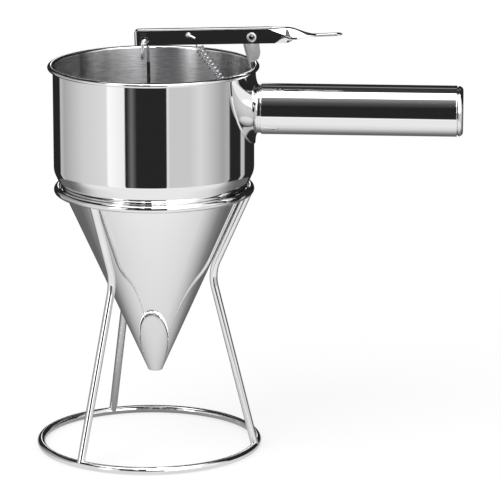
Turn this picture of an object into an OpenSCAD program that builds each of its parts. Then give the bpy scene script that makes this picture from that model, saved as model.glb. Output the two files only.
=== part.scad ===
// Pancake batter dispenser: a funnel with a lever valve, resting in a wire stand.
// Millimetres, +Z up. The origin is on the funnel's axis, level with the table.
// The handle points along +X. The valve is shown closed.

/* [Funnel] */
// Outer radius of the straight cup wall
cup_r = 63.3; // [60:0.1:70]
// Thickness of the cup's and the cone's sheet
sheet = 0.8; // [0.6:0.1:1]
// Height of the rim's top above the table
rim_z = 248; // [240:0.5:262]
// How far the rolled rim stands out from the cup wall
rim_out = 3.3; // [2.6:0.1:6]
// Height of the rolled bead on the rim
bead_h = 3.1; // [2.6:0.1:4]
// Height at which the straight wall and the cone would meet in a corner
shoulder_z = 180.5; // [176:0.5:186]
// Outer radius of the rounded shoulder between wall and cone
shoulder_r = 12; // [6:0.5:20]
// Height of the outlet's lip above the table
tip_z = 49.3; // [44:0.1:56]
// Radius of the outlet bore
outlet_r = 3.4; // [2.8:0.1:4]

/* [Handle] */
// Height of the handle's axis above the table
handle_z = 220.3; // [216:0.1:224]
// Outer radius of the handle tube
tube_r = 16; // [14:0.1:17]
// Wall of the handle tube
tube_wall = 1; // [0.8:0.1:1.5]
// Length of the handle tube
tube_len = 122.8; // [100:0.1:140]
// Length of the bare neck between socket and tube
neck_len = 1.6; // [1:0.1:3]
// Radius of the bare neck
neck_r = 15.2; // [13:0.1:15.4]
// How far the end cap stands out of the tube
cap_len = 3.8; // [3.2:0.1:6]
// Radius of the end cap's rounded edge
cap_edge_r = 2.6; // [1:0.1:3]
// Half the width of the socket along the wall, just under the rim
socket_w = 40; // [34:0.5:44]
// Height of the socket's lowest point above the table
socket_z = 198.5; // [194:0.5:200]
// How far the socket's edge stands off the cup wall
socket_edge = 0.9; // [0.6:0.1:1.2]
// Distance from the cup wall to the end of the socket
socket_out = 2.9; // [2.2:0.1:5]

/* [Lever] */
// Distance of the lever's pivot from the cup's outer wall, towards the axis
pivot_in = 1.3; // [0.3:0.1:3.3]
// Height of the pivot above the rim's top
pivot_up = 18.4; // [17:0.1:22]
// Tilt of the closed lever, front end down
lever_tilt = 1.67; // [0:0.01:3]
// Width of the lever
lever_w = 9; // [8.4:0.1:11]
// Height of the lever's side plates
lever_h = 9.4; // [9:0.1:11]
// Thickness of the lever's sheet
lever_t = 1; // [0.8:0.1:1.2]
// Depth of the pivot below the lever's top
pivot_drop = 5.3; // [5:0.1:5.6]
// Length of the lever from the rod's hook to its front end
lever_nose = 6.9; // [5.8:0.1:12]
// Length from the pivot to where the lever starts to flatten
flat_from = 18; // [14:0.5:20]
// Length from the pivot to where the thumb plate starts
thumb_from = 37; // [33:0.5:40]
// Length from the pivot to the end of the thumb plate
thumb_to = 56.5; // [50:0.5:64]
// Height of the thumb plate's top above the pivot
thumb_up = 0.7; // [0:0.1:1.5]
// Width of the thumb plate
thumb_w = 7.4; // [6:0.1:9]

/* [Pivot bracket and rivet] */
// Thickness of the bracket's sheet
bracket_t = 1; // [0.8:0.1:1.1]
// Outer width across the bracket's two ears
bracket_w = 6.2; // [5.8:0.1:6.3]
// Outer radius of the folds between the bracket's web and its ears
fold_out = 1.8; // [1.2:0.1:2.4]
// Lean of the bracket above the rim, towards the middle of the cup
bracket_lean = 15; // [8:0.5:18]
// Width of the strap inside the cup
strap_w = 8; // [6.5:0.5:12]
// Height of the strap's lower end above the table
strap_z = 213; // [206:0.5:214]
// Outer radius of the tubular rivet
rivet_r = 1.9; // [1.7:0.1:2.2]
// Radius of the hole through the rivet
rivet_bore_r = 1.2; // [0.8:0.1:1.3]
// Radius of the rivet's rolled heads
rivet_head_r = 3; // [2.6:0.1:3.3]

/* [Valve] */
// Radius of the valve rod's wire
rod_r = 1.15; // [0.9:0.05:1.25]
// How far the rod's hook lies past the funnel's axis, along the lever
hook_past = 4.7; // [4:0.1:7]
// Length of the rod's short hooked end
hook_leg = 10; // [6:0.5:12]
// Distance between the rod and its hooked end
hook_gap = 5.4; // [5:0.1:6]
// Length of the plug's conical part
plug_len = 9; // [6:0.5:12]

/* [Return spring] */
// Outer radius of the spring's coil
coil_r = 3.2; // [2.2:0.05:3.3]
// Radius of the spring's wire
coil_wire_r = 0.4; // [0.3:0.05:0.4]
// Pitch of the coil
coil_pitch = 2.6; // [2:0.1:3.2]
// Number of turns in the coil
coil_turns = 16; // [12:1:17]
// Distance from the pivot to the spring's upper pin, along the lever
pin_reach = 39.6; // [38:0.1:41]
// Radius of the spring's upper pin
pin_r = 0.6; // [0.5:0.05:0.7]
// Height of the hole for the spring's lower end above the table
lug_z = 218; // [216:0.5:221]

/* [Stand] */
// Radius of the stand's wire
wire_r = 2.5; // [2:0.1:3]
// Height of the top ring's middle above the table
seat_z = 168.2; // [160:0.1:172]
// Radius of the base ring, to the middle of its wire
base_r = 69.4; // [64:0.1:80]
// How far the base ring sits off the funnel's axis, away from the handle
base_shift = 4.1; // [0:0.1:6]
// Distance of each leg's waist from the middle of the stand
waist_r = 38.9; // [38.8:0.1:48]
// Height of the legs' waist above the table
waist_z = 114.8; // [105:0.1:115.5]
// How far the waists sit off the funnel's axis, away from the handle
waist_shift = 2; // [0:0.1:3]
// Radius of the legs' bend at the waist
waist_bend = 27; // [8:0.5:30]
// Direction of the first leg, turned from the handle
leg_1_turn = -8; // [-20:1:20]
// Direction of the second leg, turned from the handle
leg_2_turn = 116; // [100:1:140]
// Direction of the third leg, turned from the handle
leg_3_turn = 237; // [220:1:260]

/* [Hidden] */
// Clearances
seat_gap = 0.3;        // between parts that rest on each other but move apart
running_fit = 0.06;    // radial, between a pin and the hole that turns on it
skin_gap = 0.02;       // between welded sheets
cap_fit = 0.05;        // radial, between a cap's spigot and the tube
hook_slack = 1.1;      // radial, between the rod's hook and its hole
hook_seat = 0.5;       // between the rod's hook and the bottom of its hole
nose_slack = 0.5;      // radial, between the plug's nose and the outlet bore
rim_clear = 2.4;       // between the rim's top and the bracket's ears

$fn = 96;

// Funnel
cup_in = cup_r - sheet;
rim_r = cup_r + rim_out;
lip_r = 0.8 * sheet;
tip_r = outlet_r + 1.25 * sheet;       // where the cone's slope would end
slope = (cup_r - tip_r) / (shoulder_z - tip_z);
slope_a = atan(slope);
sheet_across = sheet / cos(slope_a);
bead_w = rim_r - cup_in;
bead_z = rim_z - bead_h / 2;
function cone_r(z) = tip_r + (z - tip_z) * slope;

// Handle
socket_end = cup_r + socket_out;
tube_x = socket_end + neck_len;
tube_end = tube_x + tube_len;
tube_in = tube_r - tube_wall;
spigot = 6;
socket_top = rim_z - bead_h - 0.4;
socket_root = 2;

// Lever
pivot_x = cup_r - pivot_in;
hook_reach = pivot_x + hook_past;
lever_front = hook_reach + lever_nose;
pivot_z = rim_z + pivot_up;
lever_top = pivot_drop;
lever_low = pivot_drop - lever_h;
fold_r = 1.4;
ear_r = 3.6;
hook_x = -hook_reach;
hook_hole_z = -1.2;
hook_hole_r = rod_r + hook_slack;
pin_z = 2;
lug_hole_r = 1.1;
lug_r = 2.6;
strap_x = cup_in - skin_gap - bracket_t;
lean_z = rim_z - bead_h - 2;
lug_x = strap_x - lug_r - 0.6;
steel = [0.80, 0.81, 0.82];
dark_steel = [0.62, 0.63, 0.65];
function on_lever(x, z) =
    [pivot_x + x * cos(lever_tilt) - z * sin(lever_tilt),
     pivot_z + x * sin(lever_tilt) + z * cos(lever_tilt)];

// Valve
hook_at = on_lever(hook_x, hook_hole_z);
hook_top = hook_at[1] + rod_r + hook_seat - hook_hole_r;
hook_y = -(lever_w - lever_t) / 2;
hook_turn = 32;
plug_in = sheet_across + seat_gap / cos(slope_a);
plug_z = tip_z + 1.6;
rod_low = plug_z + 3;
function plug_r(z) = cone_r(z) - plug_in;

// Stand
ring_r = cone_r(seat_z) + (wire_r + seat_gap) / cos(slope_a);

// ---------------------------------------------------------------- helpers

function unit(v) = v / norm(v);
function ease(u) = let (c = min(1, max(0, u))) c * c * (3 - 2 * c);
function mix(a, b, u) = a + (b - a) * u;

// Points of an arc about c, from angle a to angle b
function arc(c, r, a, b, n = 12) =
    [for (i = [0:n]) c + r * [cos(mix(a, b, i / n)), sin(mix(a, b, i / n))]];

// Points of an ellipse about c
function ellipse(c, rx, ry, n = 48) =
    [for (i = [0:n - 1]) c + [rx * cos(i * 360 / n), ry * sin(i * 360 / n)]];

// Skin over rings of points, closed by a flat face at each end. The points of a ring
// run counterclockwise about the way from ring to ring.
module loft(rings) {
    n = len(rings[0]);
    m = len(rings);
    sides = [for (i = [0:m - 2], j = [0:n - 1])
        let (a = i * n + j, b = i * n + (j + 1) % n)
        each [[a, b + n, b], [a, a + n, b + n]]];
    polyhedron(points = [for (r = rings) each r],
               faces = concat([[for (j = [0:n - 1]) j]], sides,
                              [[for (j = [n - 1:-1:0]) (m - 1) * n + j]]));
}

function turned(dirs, i, n) =
    i == len(dirs) ? []
    : let (m = unit(n - dirs[i] * (n * dirs[i]))) concat([m], turned(dirs, i + 1, m));

// Round wire along a path of points close together
module tube(p, r, sides = 6) {
    last = len(p) - 1;
    dirs = [for (i = [0:last]) unit(p[min(i + 1, last)] - p[max(i - 1, 0)])];
    ups = turned(dirs, 0, [0.1, 0.2, 1]);
    loft([for (i = [0:last])
        [for (a = [0:360 / sides:359])
            p[i] + r * (cos(a) * ups[i] + sin(a) * cross(dirs[i], ups[i]))]]);
}

// Path through corner points, each corner rounded by the same bend
function bent(p, bend, steps = 8) =
    let (last = len(p) - 1)
    concat([p[0]],
           [for (i = [1:max(1, last - 1)]) if (last > 1)
               let (u = unit(p[i] - p[i - 1]), v = unit(p[i + 1] - p[i]),
                    turn = acos(u * v), side = unit(v - u * (u * v)),
                    from = p[i] - u * bend * tan(turn / 2))
               each [for (k = [0:steps])
                   let (q = turn * k / steps)
                   from + bend * (u * sin(q) + side * (1 - cos(q)))]],
           [p[last]]);

// ----------------------------------------------------------------- funnel

module cup() {
    turn = shoulder_r * tan(slope_a / 2);
    c = [cup_r - shoulder_r, shoulder_z + turn];
    wall = concat([[cone_r(seat_z), seat_z]],
                  arc(c, shoulder_r, -slope_a, 0, 16), [[cup_r, bead_z]],
                  [[cup_in, bead_z]],
                  arc(c, shoulder_r - sheet, 0, -slope_a, 16),
                  [[cone_r(seat_z) - sheet_across, seat_z]]);
    middle = [cup_in + bead_w / 2, bead_z];
    color(steel) rotate_extrude($fn = 180) {
        polygon(wall);
        difference() {
            polygon(ellipse(middle, bead_w / 2, bead_h / 2));
            polygon(ellipse(middle, bead_w / 2 - sheet, bead_h / 2 - sheet));
        }
    }
}

module cone() {
    low = tip_z + lip_r;
    color(steel) rotate_extrude($fn = 180) {
        polygon([for (z = [low, seat_z]) [cone_r(z), z],
                 for (z = [seat_z, low]) [cone_r(z) - sheet_across, z]]);
        translate([outlet_r + lip_r, low]) circle(lip_r, $fn = 48);
    }
}

// ----------------------------------------------------------------- handle

// Where a ray from the handle's axis meets the socket's shield outline:
// half an ellipse hanging from a level top edge
function shield(a) =
    let (up = socket_top - handle_z,
         high = socket_top - socket_z,
         ca = cos(a) / socket_w,
         sa = sin(a) / high,
         k = up / high,
         reach = (k * sa + sqrt(k * k * sa * sa - (ca * ca + sa * sa) * (k * k - 1)))
                 / (ca * ca + sa * sa),
         top = sin(a) > 0 ? up / sin(a) : 10 * socket_w)
    min(reach, top) * [cos(a), sin(a)];

function wall_x(y) = sqrt(cup_r * cup_r - y * y);

module handle_socket() {
    turns = [for (a = [0:4:356]) a];
    edge = [for (a = turns)
        let (s = shield(a), w = s[0] * 180 / (PI * cup_r))
        [cup_r * sin(w), handle_z + s[1]]];
    neck = [for (a = turns) [neck_r * cos(a), handle_z + neck_r * sin(a)]];
    steps = 9;
    flare = [for (i = [0:steps])
        let (q = 90 * i / steps)
        [for (j = [0:len(turns) - 1])
            let (p = mix(edge[j], neck[j], sin(q)),
                 rise = socket_end - wall_x(neck[j][0]) - socket_edge)
            [wall_x(p[0]) + socket_edge + rise * (1 - cos(q)), p[0], p[1]]]];
    back = [for (e = edge) [wall_x(e[0]) - socket_root, e[0], e[1]]];
    color(steel) difference() {
        loft(concat([back], flare));
        cylinder(r = cup_r + skin_gap, h = rim_z, $fn = 180);
    }
}

module along_handle(x) {
    translate([x, 0, handle_z]) rotate([0, 90, 0]) children();
}

module handle_collar() {
    color(dark_steel) along_handle(socket_end) {
        cylinder(r = neck_r, h = neck_len);
        translate([0, 0, neck_len]) cylinder(r = tube_in - cap_fit, h = spigot);
    }
}

module handle_tube() {
    round = 0.7;
    color(steel) along_handle(tube_x) rotate_extrude()
        polygon(concat([[tube_in, 0]],
                       arc([tube_r - round, round], round, -90, 0, 6),
                       arc([tube_r - round, tube_len - round], round, 0, 90, 6),
                       [[tube_in, tube_len]]));
}

module handle_end_cap() {
    step = 0.4;
    seam = 0.8;
    full = tube_r - 0.1;
    color(steel) along_handle(tube_end) {
        rotate_extrude()
            polygon(concat([[0, 0], [full - step, 0], [full - step, seam]],
                           [[full, seam + step]],
                           arc([full - cap_edge_r, cap_len - cap_edge_r], cap_edge_r,
                               0, 90, 10),
                           [[0, cap_len]]));
        translate([0, 0, -spigot]) cylinder(r = tube_in - cap_fit, h = spigot);
    }
}

// ------------------------------------------------- pivot bracket and rivet

module across(w) {
    translate([0, w / 2, 0]) rotate([90, 0, 0]) linear_extrude(w) children();
}

module bore_across(x, z, r, w) {
    translate([x, w, z]) rotate([90, 0, 0]) cylinder(r = r, h = 2 * w);
}

// Channel seen from above: a web with a fold at each end and two ears
module channel(w, t, fold, depth) {
    y = w / 2 - fold;
    polygon(concat([[depth, -w / 2]], arc([fold, -y], fold, 270, 180, 8),
                   arc([fold, y], fold, 180, 90, 8), [[depth, w / 2]],
                   [[depth, w / 2 - t]], arc([fold, y], fold - t, 90, 180, 8),
                   arc([fold, -y], fold - t, 180, 270, 8), [[depth, t - w / 2]]));
}

module pivot_bracket() {
    front = pivot_x + ear_r + 1.5;
    back = pivot_x - ear_r - 4;
    ear_low = rim_z + rim_clear;
    toe = 5;
    foot = lean_z + 4;
    web_h = 12;
    ears = concat(arc([front - toe, ear_low + toe], toe, 270, 360, 10),
                  arc([pivot_x, pivot_z], ear_r, 20, 160, 12),
                  [[back, pivot_z - ear_r], [back, foot], [strap_x - bracket_t, foot],
                   [strap_x, ear_low]]);
    color(steel) difference() {
        union() {
            intersection() {
                translate([strap_x, 0, lean_z]) rotate([0, -bracket_lean, 0])
                    linear_extrude(pivot_z - lean_z + 2 * ear_r)
                        channel(bracket_w, bracket_t, fold_out, 5 * ear_r);
                across(bracket_w + 2) polygon(ears);
            }
            translate([strap_x, 0, lean_z]) rotate([0, -bracket_lean, 0])
                translate([0, -bracket_w / 2 + fold_out, 0])
                    cube([bracket_t, bracket_w - 2 * fold_out, web_h]);
            intersection() {
                difference() {
                    cylinder(r = strap_x + bracket_t, h = rim_z, $fn = 180);
                    cylinder(r = strap_x, h = rim_z, $fn = 180);
                }
                translate([0, -strap_w / 2, strap_z])
                    cube([cup_r, strap_w, lean_z + 0.6 - strap_z]);
            }
            across(bracket_t)
                polygon(concat([[strap_x + bracket_t / 2, lug_z + lug_r + 1.5]],
                               arc([lug_x, lug_z], lug_r, 110, 250, 10),
                               [[strap_x + bracket_t / 2, lug_z - lug_r - 1.5]]));
        }
        bore_across(pivot_x, pivot_z, rivet_r + skin_gap, bracket_w);
        bore_across(lug_x, lug_z, lug_hole_r, bracket_t);
    }
}

module pivot_rivet() {
    side_play = 0.12;
    reach = lever_w / 2 + side_play;
    roll = (rivet_head_r - rivet_bore_r) / 2;
    middle = rivet_bore_r + roll;
    color(steel) translate([pivot_x, 0, pivot_z]) rotate([90, 0, 0]) rotate_extrude()
        polygon(concat([[rivet_r, reach]], arc([middle, reach], roll, 0, 180, 10),
                       arc([middle, -reach], roll, 180, 360, 10), [[rivet_r, -reach]]));
}

// ------------------------------------------------------------------ lever

module on_pivot() {
    translate([pivot_x, 0, pivot_z]) rotate([0, -lever_tilt, 0]) children();
}

// Slice across the lever at x: flat below, with rounded upper corners
function slice(x, w, low, top, r) =
    [for (p = concat([[w, low]], arc([w - r, top - r], r, 0, 90, 5),
                     arc([r - w, top - r], r, 90, 180, 5), [[-w, low]]))
        [x, p[0], p[1]]];

function lever_half(x) =
    mix(lever_w / 2, thumb_w / 2, ease((x - flat_from) / (thumb_from - flat_from)));
function lever_up(x) =
    mix(lever_top, thumb_up, ease((x - flat_from) / (thumb_from - flat_from)));
function lever_down(x) =
    mix(lever_low, thumb_up - lever_t, ease((x - flat_from - 1.5)
                                            / (thumb_from - flat_from - 4)));

module lever() {
    nose = 2;
    corner = 0.45;
    flats = [for (i = [0:12]) mix(flat_from, thumb_from, i / 12)];
    front = [for (i = [0:4])
        let (q = 22.5 * i, d = nose * (1 - sin(q)))
        slice(nose * (1 - cos(q)) - lever_front, lever_w / 2 - d, lever_low,
              lever_top - d, mix(0.3, fold_r, i / 4))];
    blank = concat(front,
        [for (x = flats)
            let (deep = lever_up(x) - lever_down(x))
            slice(x, lever_half(x), lever_down(x), lever_up(x),
                  min(fold_r, deep / 2 - 0.05))],
        [for (i = [0:6])
            let (q = 15 * i, r = thumb_w / 2)
            slice(thumb_to - r + r * sin(q), max(0.6, r * cos(q)),
                  thumb_up - lever_t, thumb_up, corner)]);
    hollow = [for (x = concat([lever_t - lever_front, lever_t + nose - lever_front],
                              [for (x = flats) if (x < thumb_from - 3) x]))
        let (w = lever_half(x) - lever_t, top = lever_up(x) - lever_t,
             low = lever_down(x) - 1)
        slice(x, x < -lever_front + nose ? w - 0.6 : w, low, top,
              min(fold_r - 0.8, (top - low) / 2 - 0.05))];
    color(steel) on_pivot() difference() {
        loft(blank);
        loft(hollow);
        bore_across(0, 0, rivet_r + running_fit, lever_w);
        bore_across(-pin_reach, pin_z, pin_r + skin_gap, lever_w);
        translate([hook_x, 0, hook_hole_z]) rotate([90, 0, 0])
            cylinder(r = hook_hole_r, h = lever_w);
    }
}

module spring_pin() {
    ball = 1.4;
    stub = 0.9;
    side = lever_w / 2;
    tail = [4.6, -side - 0.8, -2.2];
    color(steel) on_pivot() translate([-pin_reach, 0, pin_z]) {
        translate([0, side + stub, 0]) rotate([90, 0, 0])
            cylinder(r = pin_r, h = 2 * side + stub + ball);
        translate([0, -side - ball, 0]) sphere(ball);
        translate([0, side + stub, 0]) sphere(stub);
        tube([[0, -side - ball, 0], tail], 0.75 * pin_r, 10);
    }
}

// ----------------------------------------------------------- return spring

pin_at = on_lever(-pin_reach, pin_z);
coil_mid = coil_r - coil_wire_r;
reach_x = pin_at[0] - lug_x;
reach_z = pin_at[1] - lug_z;
spring_len = norm([reach_x, reach_z]);
along = [reach_x, 0, reach_z] / spring_len;
beside = [along[2], 0, -along[0]];
low_hook = lug_hole_r - coil_wire_r - seat_gap;
coil_from = low_hook + coil_mid + 4.6;
coil_to = coil_from + coil_turns * coil_pitch;
top_hook = pin_r + seat_gap + coil_wire_r;

// Place of a point given by its distance along the spring, aside and across
function in_spring(w, b, c) = [lug_x, 0, lug_z] + along * w + beside * b + [0, c, 0];

spring_path = concat(
    [for (w = [1.2, 0.6, 0]) in_spring(low_hook + coil_mid + w, 0, -coil_mid)],
    [for (q = [160:-20:20])
        in_spring(low_hook + coil_mid * (1 - sin(q)), 0, coil_mid * cos(q))],
    [for (w = [0, 0.8, 1.6]) in_spring(low_hook + coil_mid + w, 0, coil_mid)],
    [for (p = [[7, -2.1], [22, -1.2], [42, -0.5]])
        in_spring(coil_from + p[1], coil_mid * sin(p[0]), coil_mid * cos(p[0]))],
    [for (i = [0:8 * coil_turns])
        in_spring(coil_from + i * coil_pitch / 8, coil_mid * sin(70 + 45 * i),
                  coil_mid * cos(70 + 45 * i))],
    [for (i = [1:5])
        let (r = coil_mid * (1 - i / 5) * (1 + 0.4 * i / 5), a = 70 + 40 * i)
        in_spring(coil_to + 0.35 * i + 0.08 * i * i, r * sin(a), r * cos(a))],
    [for (w = [coil_to + 5:1.5:spring_len - 3.4]) in_spring(w, 0, 0)],
    [for (p = [[0.3, 2.4], [0.72, 1.5], [0.96, 0.7]])
        in_spring(spring_len - p[1], -top_hook * p[0], 0)],
    [for (q = [180:-24:-36])
        in_spring(spring_len + top_hook * sin(q), top_hook * cos(q), 0)]);

// Least gap between parts of the wire that aren't neighbours along it
function least_gap(p, r, apart = 5) =
    min([for (i = [0:len(p) - 1 - apart], j = [i + apart:len(p) - 1]) norm(p[i] - p[j])])
    - 2 * r;

module return_spring() {
    echo(spring_least_gap = least_gap(spring_path, coil_wire_r));
    color(steel) tube(spring_path, coil_wire_r);
}

// ------------------------------------------------------------------ valve

module valve_rod() {
    e = [-sin(hook_turn), -cos(hook_turn), 0] * hook_gap / 2;
    at = [hook_at[0], hook_y, hook_top];
    color(steel)
        tube(bent([[0, 0, rod_low], at - e, at + e, at + e - [0, 0, hook_leg]],
                  hook_gap / 2 - 0.1), rod_r, 16);
}

module valve_plug() {
    top = plug_z + plug_len;
    round = 1.2;
    stem_r = rod_r + 1;
    nose_r = outlet_r - nose_slack;
    nose_z = tip_z + 0.3;
    color(dark_steel) difference() {
        rotate_extrude()
            polygon(concat([[0, nose_z], [nose_r - 0.4, nose_z], [nose_r, nose_z + 0.4],
                            [nose_r, plug_z - 0.6], [plug_r(plug_z), plug_z]],
                           arc([plug_r(top) - round, top], round, 0, 90, 6),
                           [[stem_r, top + round], [stem_r, top + 3], [0, top + 3]]));
        tube([[0, 0, rod_low], rod_top_at()], rod_r + skin_gap, 16);
    }
}

function rod_top_at() =
    [hook_at[0] + sin(hook_turn) * hook_gap / 2, hook_y + cos(hook_turn) * hook_gap / 2,
     hook_top];

// ------------------------------------------------------------------ stand

module ring(r, z, x = 0, extra = 0) {
    translate([x, 0, z]) rotate_extrude($fn = 180) translate([r, 0]) circle(wire_r + extra);
}

module stand_top_ring() {
    color(steel) ring(ring_r, seat_z);
}

module stand_base_ring() {
    color(steel) ring(base_r, wire_r, -base_shift);
}

module stand_leg(a) {
    d = [cos(a), sin(a), 0];
    top = d * ring_r + [0, 0, seat_z];
    waist = d * waist_r + [-waist_shift, 0, waist_z];
    foot = d * base_r + [-base_shift, 0, wire_r];
    weld = 1.2 * wire_r;
    clear = seat_gap / cos(slope_a);
    color(steel) difference() {
        union() {
            tube(bent([top, waist, foot], waist_bend), wire_r, 20);
            for (p = [[top, waist], [foot, waist]])
                translate(p[0] + 0.75 * wire_r * unit(p[1] - p[0])) sphere(weld);
        }
        ring(ring_r, seat_z, 0, skin_gap);
        ring(base_r, wire_r, -base_shift, skin_gap);
        translate([0, 0, waist_z])
            cylinder(r1 = cone_r(waist_z) + clear, r2 = cone_r(seat_z + weld) + clear,
                     h = seat_z + weld - waist_z);
    }
}

module stand_leg_1() { stand_leg(leg_1_turn); }
module stand_leg_2() { stand_leg(leg_2_turn); }
module stand_leg_3() { stand_leg(leg_3_turn); }

cup();
cone();
handle_socket();
handle_collar();
handle_tube();
handle_end_cap();
pivot_bracket();
pivot_rivet();
lever();
spring_pin();
return_spring();
valve_rod();
valve_plug();
stand_top_ring();
stand_base_ring();
stand_leg_1();
stand_leg_2();
stand_leg_3();
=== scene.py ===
"""Looks of a pancake batter dispenser: a polished steel funnel with a lever valve, in a wire stand.

Places and sizes are in the CAD model's frame. Lengths are written in millimetres and made
metres by at() and MM.
"""

import math

import bmesh
import bpy
from mathutils import Matrix, Vector


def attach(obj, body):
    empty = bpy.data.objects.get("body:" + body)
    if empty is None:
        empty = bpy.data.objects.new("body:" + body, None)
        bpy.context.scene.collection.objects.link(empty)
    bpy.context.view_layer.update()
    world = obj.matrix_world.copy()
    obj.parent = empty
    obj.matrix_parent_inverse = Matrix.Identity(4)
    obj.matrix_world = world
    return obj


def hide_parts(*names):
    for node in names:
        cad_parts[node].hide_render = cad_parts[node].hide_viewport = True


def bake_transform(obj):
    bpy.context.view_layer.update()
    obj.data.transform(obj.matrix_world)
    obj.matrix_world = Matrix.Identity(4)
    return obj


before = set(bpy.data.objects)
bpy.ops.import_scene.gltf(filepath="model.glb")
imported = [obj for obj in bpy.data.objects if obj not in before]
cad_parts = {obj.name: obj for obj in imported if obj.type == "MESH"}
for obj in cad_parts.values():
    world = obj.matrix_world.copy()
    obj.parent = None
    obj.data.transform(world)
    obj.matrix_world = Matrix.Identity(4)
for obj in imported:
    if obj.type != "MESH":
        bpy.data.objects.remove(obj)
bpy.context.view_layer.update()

MM = 0.001

# Sizes of the funnel, as in the part's source
CUP_R = 63.3
SHEET = 0.8
RIM_Z = 248.0
RIM_R = 66.6
BEAD_H = 3.1
BEAD_ARC = (232, 540)
LIP_ARC = (180, 336)
CUP_RINGS = (200, 220, 236)
SHOULDER_Z = 180.5
SHOULDER_R = 12.0
TIP_Z = 49.3
OUTLET_R = 3.4
SEAT_Z = 168.2
CUP_IN = CUP_R - SHEET
LIP_R = 0.8 * SHEET
TIP_R = OUTLET_R + 1.25 * SHEET
SLOPE = (CUP_R - TIP_R) / (SHOULDER_Z - TIP_Z)
SLOPE_A = math.atan(SLOPE)
SHEET_ACROSS = SHEET / math.cos(SLOPE_A)
BEAD_Z = RIM_Z - BEAD_H / 2

# Sizes of the handle
HANDLE_Z = 220.3
TUBE_R = 16.0
TUBE_WALL = 1.0
TUBE_LEN = 122.8
NECK_LEN = 1.6
NECK_R = 15.2
CAP_LEN = 3.8
CAP_EDGE_R = 2.6
CAP_INSET = 0.15
CAP_SEAM_DEPTH = 0.9
CAP_SEAM = 0.4
TUBE_NEAR_R = 0.9
TUBE_FAR_R = 0.3
SOCKET_W = 40.0
SOCKET_Z = 198.5
SOCKET_EDGE = 0.9
SOCKET_GAP = 0.02
SOCKET_END = CUP_R + 2.9
SOCKET_TOP = RIM_Z - BEAD_H - 0.4
TUBE_X = SOCKET_END + NECK_LEN
TUBE_END = TUBE_X + TUBE_LEN
SPIGOT_R = TUBE_R - TUBE_WALL - 0.05
SPIGOT_LEN = 6

# Sizes of the lever and what hangs on it
PIVOT_X = 62.0
PIVOT_Z = RIM_Z + 18.4
LEVER_TILT = math.radians(1.67)
LEVER_W = 9.0
LEVER_T = 1.0
LEVER_TOP = 5.3
LEVER_LOW = -4.1
LEVER_FRONT = -73.6
LEVER_END = 56.5
LEVER_NOSE_R = 1.7
LEVER_END_R = 3.7
# Length of the lever's front end given the dark finish: partly an unpolished edge, partly painted
# shade
LEVER_DULL_SHADED_END = 0.9
LEVER_SKIN = 0.96
HOOK_X = -66.7
HOOK_HOLE_Z = -1.2
HOOK_HOLE_R = 2.25
ROD_R = 1.15
PIVOT_SLACK = 0.1
PIN_X = -39.6
PIN_Z = 2.0
PIN_WIRE_R = 0.6
PIN_TAIL_R = 0.45
PIN_HEAD_R = 1.45
PIN_STUB_R = 0.85
RIVET_R = 1.9
RIVET_BORE_R = 1.2
RIVET_HEAD_R = 3.0
RIVET_LIFT = 0.12
RIVET_ROLL = 0.8
# Width round the rivet's bore given the dark finish: partly unpolished, partly painted shade
RIVET_DULL_SHADED_RIM = 0.5

# Sizes of the stand
WIRE_R = 2.5
RING_R = TIP_R + (SEAT_Z - TIP_Z) * SLOPE + (WIRE_R + 0.3) / math.cos(SLOPE_A)
BASE_R = 69.4
BASE_SHIFT = -4.1
WAIST_R = 38.9
WAIST_Z = 114.8
WAIST_SHIFT = -2.0
WAIST_BEND = 27.0
LEG_TURNS = (-8, 116, 237)

# The photograph's camera, fitted to the rim, the rings and the base: how far it stands round
# from the handle's side and above the level, what it aims at, and how far off it stands
CAMERA_TURN = math.radians(4)
CAMERA_RISE = math.radians(13.54)
CAMERA_AIM_Z = 135
CAMERA_ASIDE = 0.0606
CAMERA_BACK = 2.2437
CAMERA_LENS = 254.5
CAMERA_SHIFT_Y = -0.0224

# Steps round the pieces that are turned or spun
FUNNEL_STEPS = 288
HANDLE_STEPS = 256
COLLAR_STEPS = 192
RING_STEPS = 256
RIVET_STEPS = 64
SOCKET_STEPS = 240

# Gaps under which places are merged, in new pieces and in copies of CAD nodes
WELD_GAP = 0.0005
COPY_GAP = 0.001


def at(x, y, z):
    return Vector((x, y, z)) * MM


def cone_r(z):
    return TIP_R + (z - TIP_Z) * SLOPE


def arc(cx, cz, rx, rz, a, b, steps):
    """Points of an arc of an ellipse from angle a to angle b, in degrees."""
    turns = [math.radians(a + (b - a) * i / steps) for i in range(steps + 1)]
    return [(cx + rx * math.cos(t), cz + rz * math.sin(t)) for t in turns]


# ------------------------------------------------------------- modelling


def deselect():
    if bpy.context.mode != "OBJECT":
        bpy.ops.object.mode_set(mode="OBJECT")
    bpy.ops.object.select_all(action="DESELECT")


def edit(kind):
    bpy.ops.object.mode_set(mode="EDIT")
    bpy.ops.mesh.select_mode(type=kind)


def done(name, smooth=30):
    """Leaves edit mode, names the piece and shades its soft edges smooth."""
    if bpy.context.mode != "OBJECT":
        bpy.ops.object.mode_set(mode="OBJECT")
    piece = bpy.context.object
    piece.name = name
    piece.data.name = name
    bpy.ops.object.shade_smooth_by_angle(angle=math.radians(smooth))
    return piece


def merge():
    bpy.ops.mesh.select_all(action="SELECT")
    bpy.ops.mesh.remove_doubles(threshold=WELD_GAP * MM)
    bpy.ops.mesh.normals_make_consistent(inside=False)


def draw(places):
    """A line of edges through the places, started from a small plane that is closed up."""
    deselect()
    bpy.ops.mesh.primitive_plane_add(size=MM, location=places[0])
    bpy.ops.object.transform_apply(location=True)
    edit("VERT")
    bpy.ops.mesh.select_all(action="SELECT")
    bpy.ops.mesh.merge(type="CENTER")
    for here, there in zip(places, places[1:]):
        bpy.ops.mesh.extrude_region_move(TRANSFORM_OT_translate={"value": there - here})


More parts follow.
